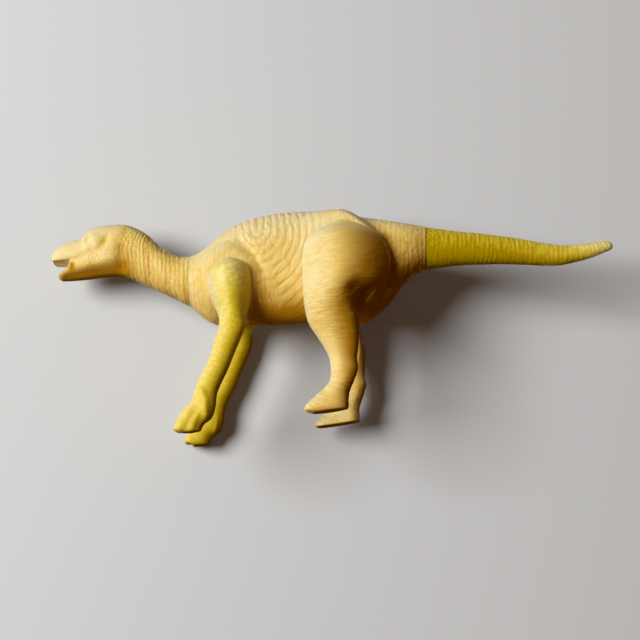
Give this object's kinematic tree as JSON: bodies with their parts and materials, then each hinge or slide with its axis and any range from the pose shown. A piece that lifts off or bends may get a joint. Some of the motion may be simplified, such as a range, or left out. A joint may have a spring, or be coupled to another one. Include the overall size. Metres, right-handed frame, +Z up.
{
  "type": "toy dinosaur",
  "caption": "Four-footed soft plastic toy dinosaur with wrinkled skin, an open beak, a long tail, a turning head and tail, and legs that swing on snap pegs.",
  "frame": {"origin": "centre of the bounding box at the level of the soles", "axes": "+Z up, head towards -X and tail towards +X, the toy's left side towards -Y"},
  "size_m": [0.1406, 0.0376, 0.0575],
  "materials": {
    "cream": "soft translucent plastic, satin",
    "lemon": "soft translucent plastic, satin"
  },
  "bodies": {
    "trunk": {"torso_left": "cream", "torso_right": "cream"},
    "head": {"head_and_neck": "cream"},
    "tail": {"tail": "lemon"},
    "left_foreleg": {"left_foreleg": "lemon"},
    "right_foreleg": {"right_foreleg": "lemon"},
    "left_hind_leg": {"left_hind_leg": "cream"},
    "right_hind_leg": {"right_hind_leg": "cream"}
  },
  "joints": [
    {"name": "left_shoulder", "type": "hinge", "parent": "trunk", "child": "left_foreleg", "pos_m": [-0.0253, -0.0107, 0.0374], "axis": [0, 1, 0], "range_deg": [-20, 150]},
    {"name": "right_shoulder", "type": "hinge", "parent": "trunk", "child": "right_foreleg", "pos_m": [-0.0253, 0.0107, 0.0374], "axis": [0, 1, 0], "range_deg": [-20, 150]},
    {"name": "left_hip", "type": "hinge", "parent": "trunk", "child": "left_hind_leg", "pos_m": [0.0034, -0.0107, 0.037], "axis": [0, 1, 0], "range_deg": [-150, 12]},
    {"name": "right_hip", "type": "hinge", "parent": "trunk", "child": "right_hind_leg", "pos_m": [0.0034, 0.0107, 0.037], "axis": [0, 1, 0], "range_deg": [-146, 16]},
    {"name": "neck_turn", "type": "hinge", "parent": "trunk", "child": "head", "pos_m": [-0.0359, 0, 0.0398], "axis": [-0.9923, 0, 0.1236], "continuous": true},
    {"name": "tail_turn", "type": "hinge", "parent": "trunk", "child": "tail", "pos_m": [0.0236, 0, 0.03925], "axis": [0.9866, 0, -0.1633], "continuous": true}
  ]
}
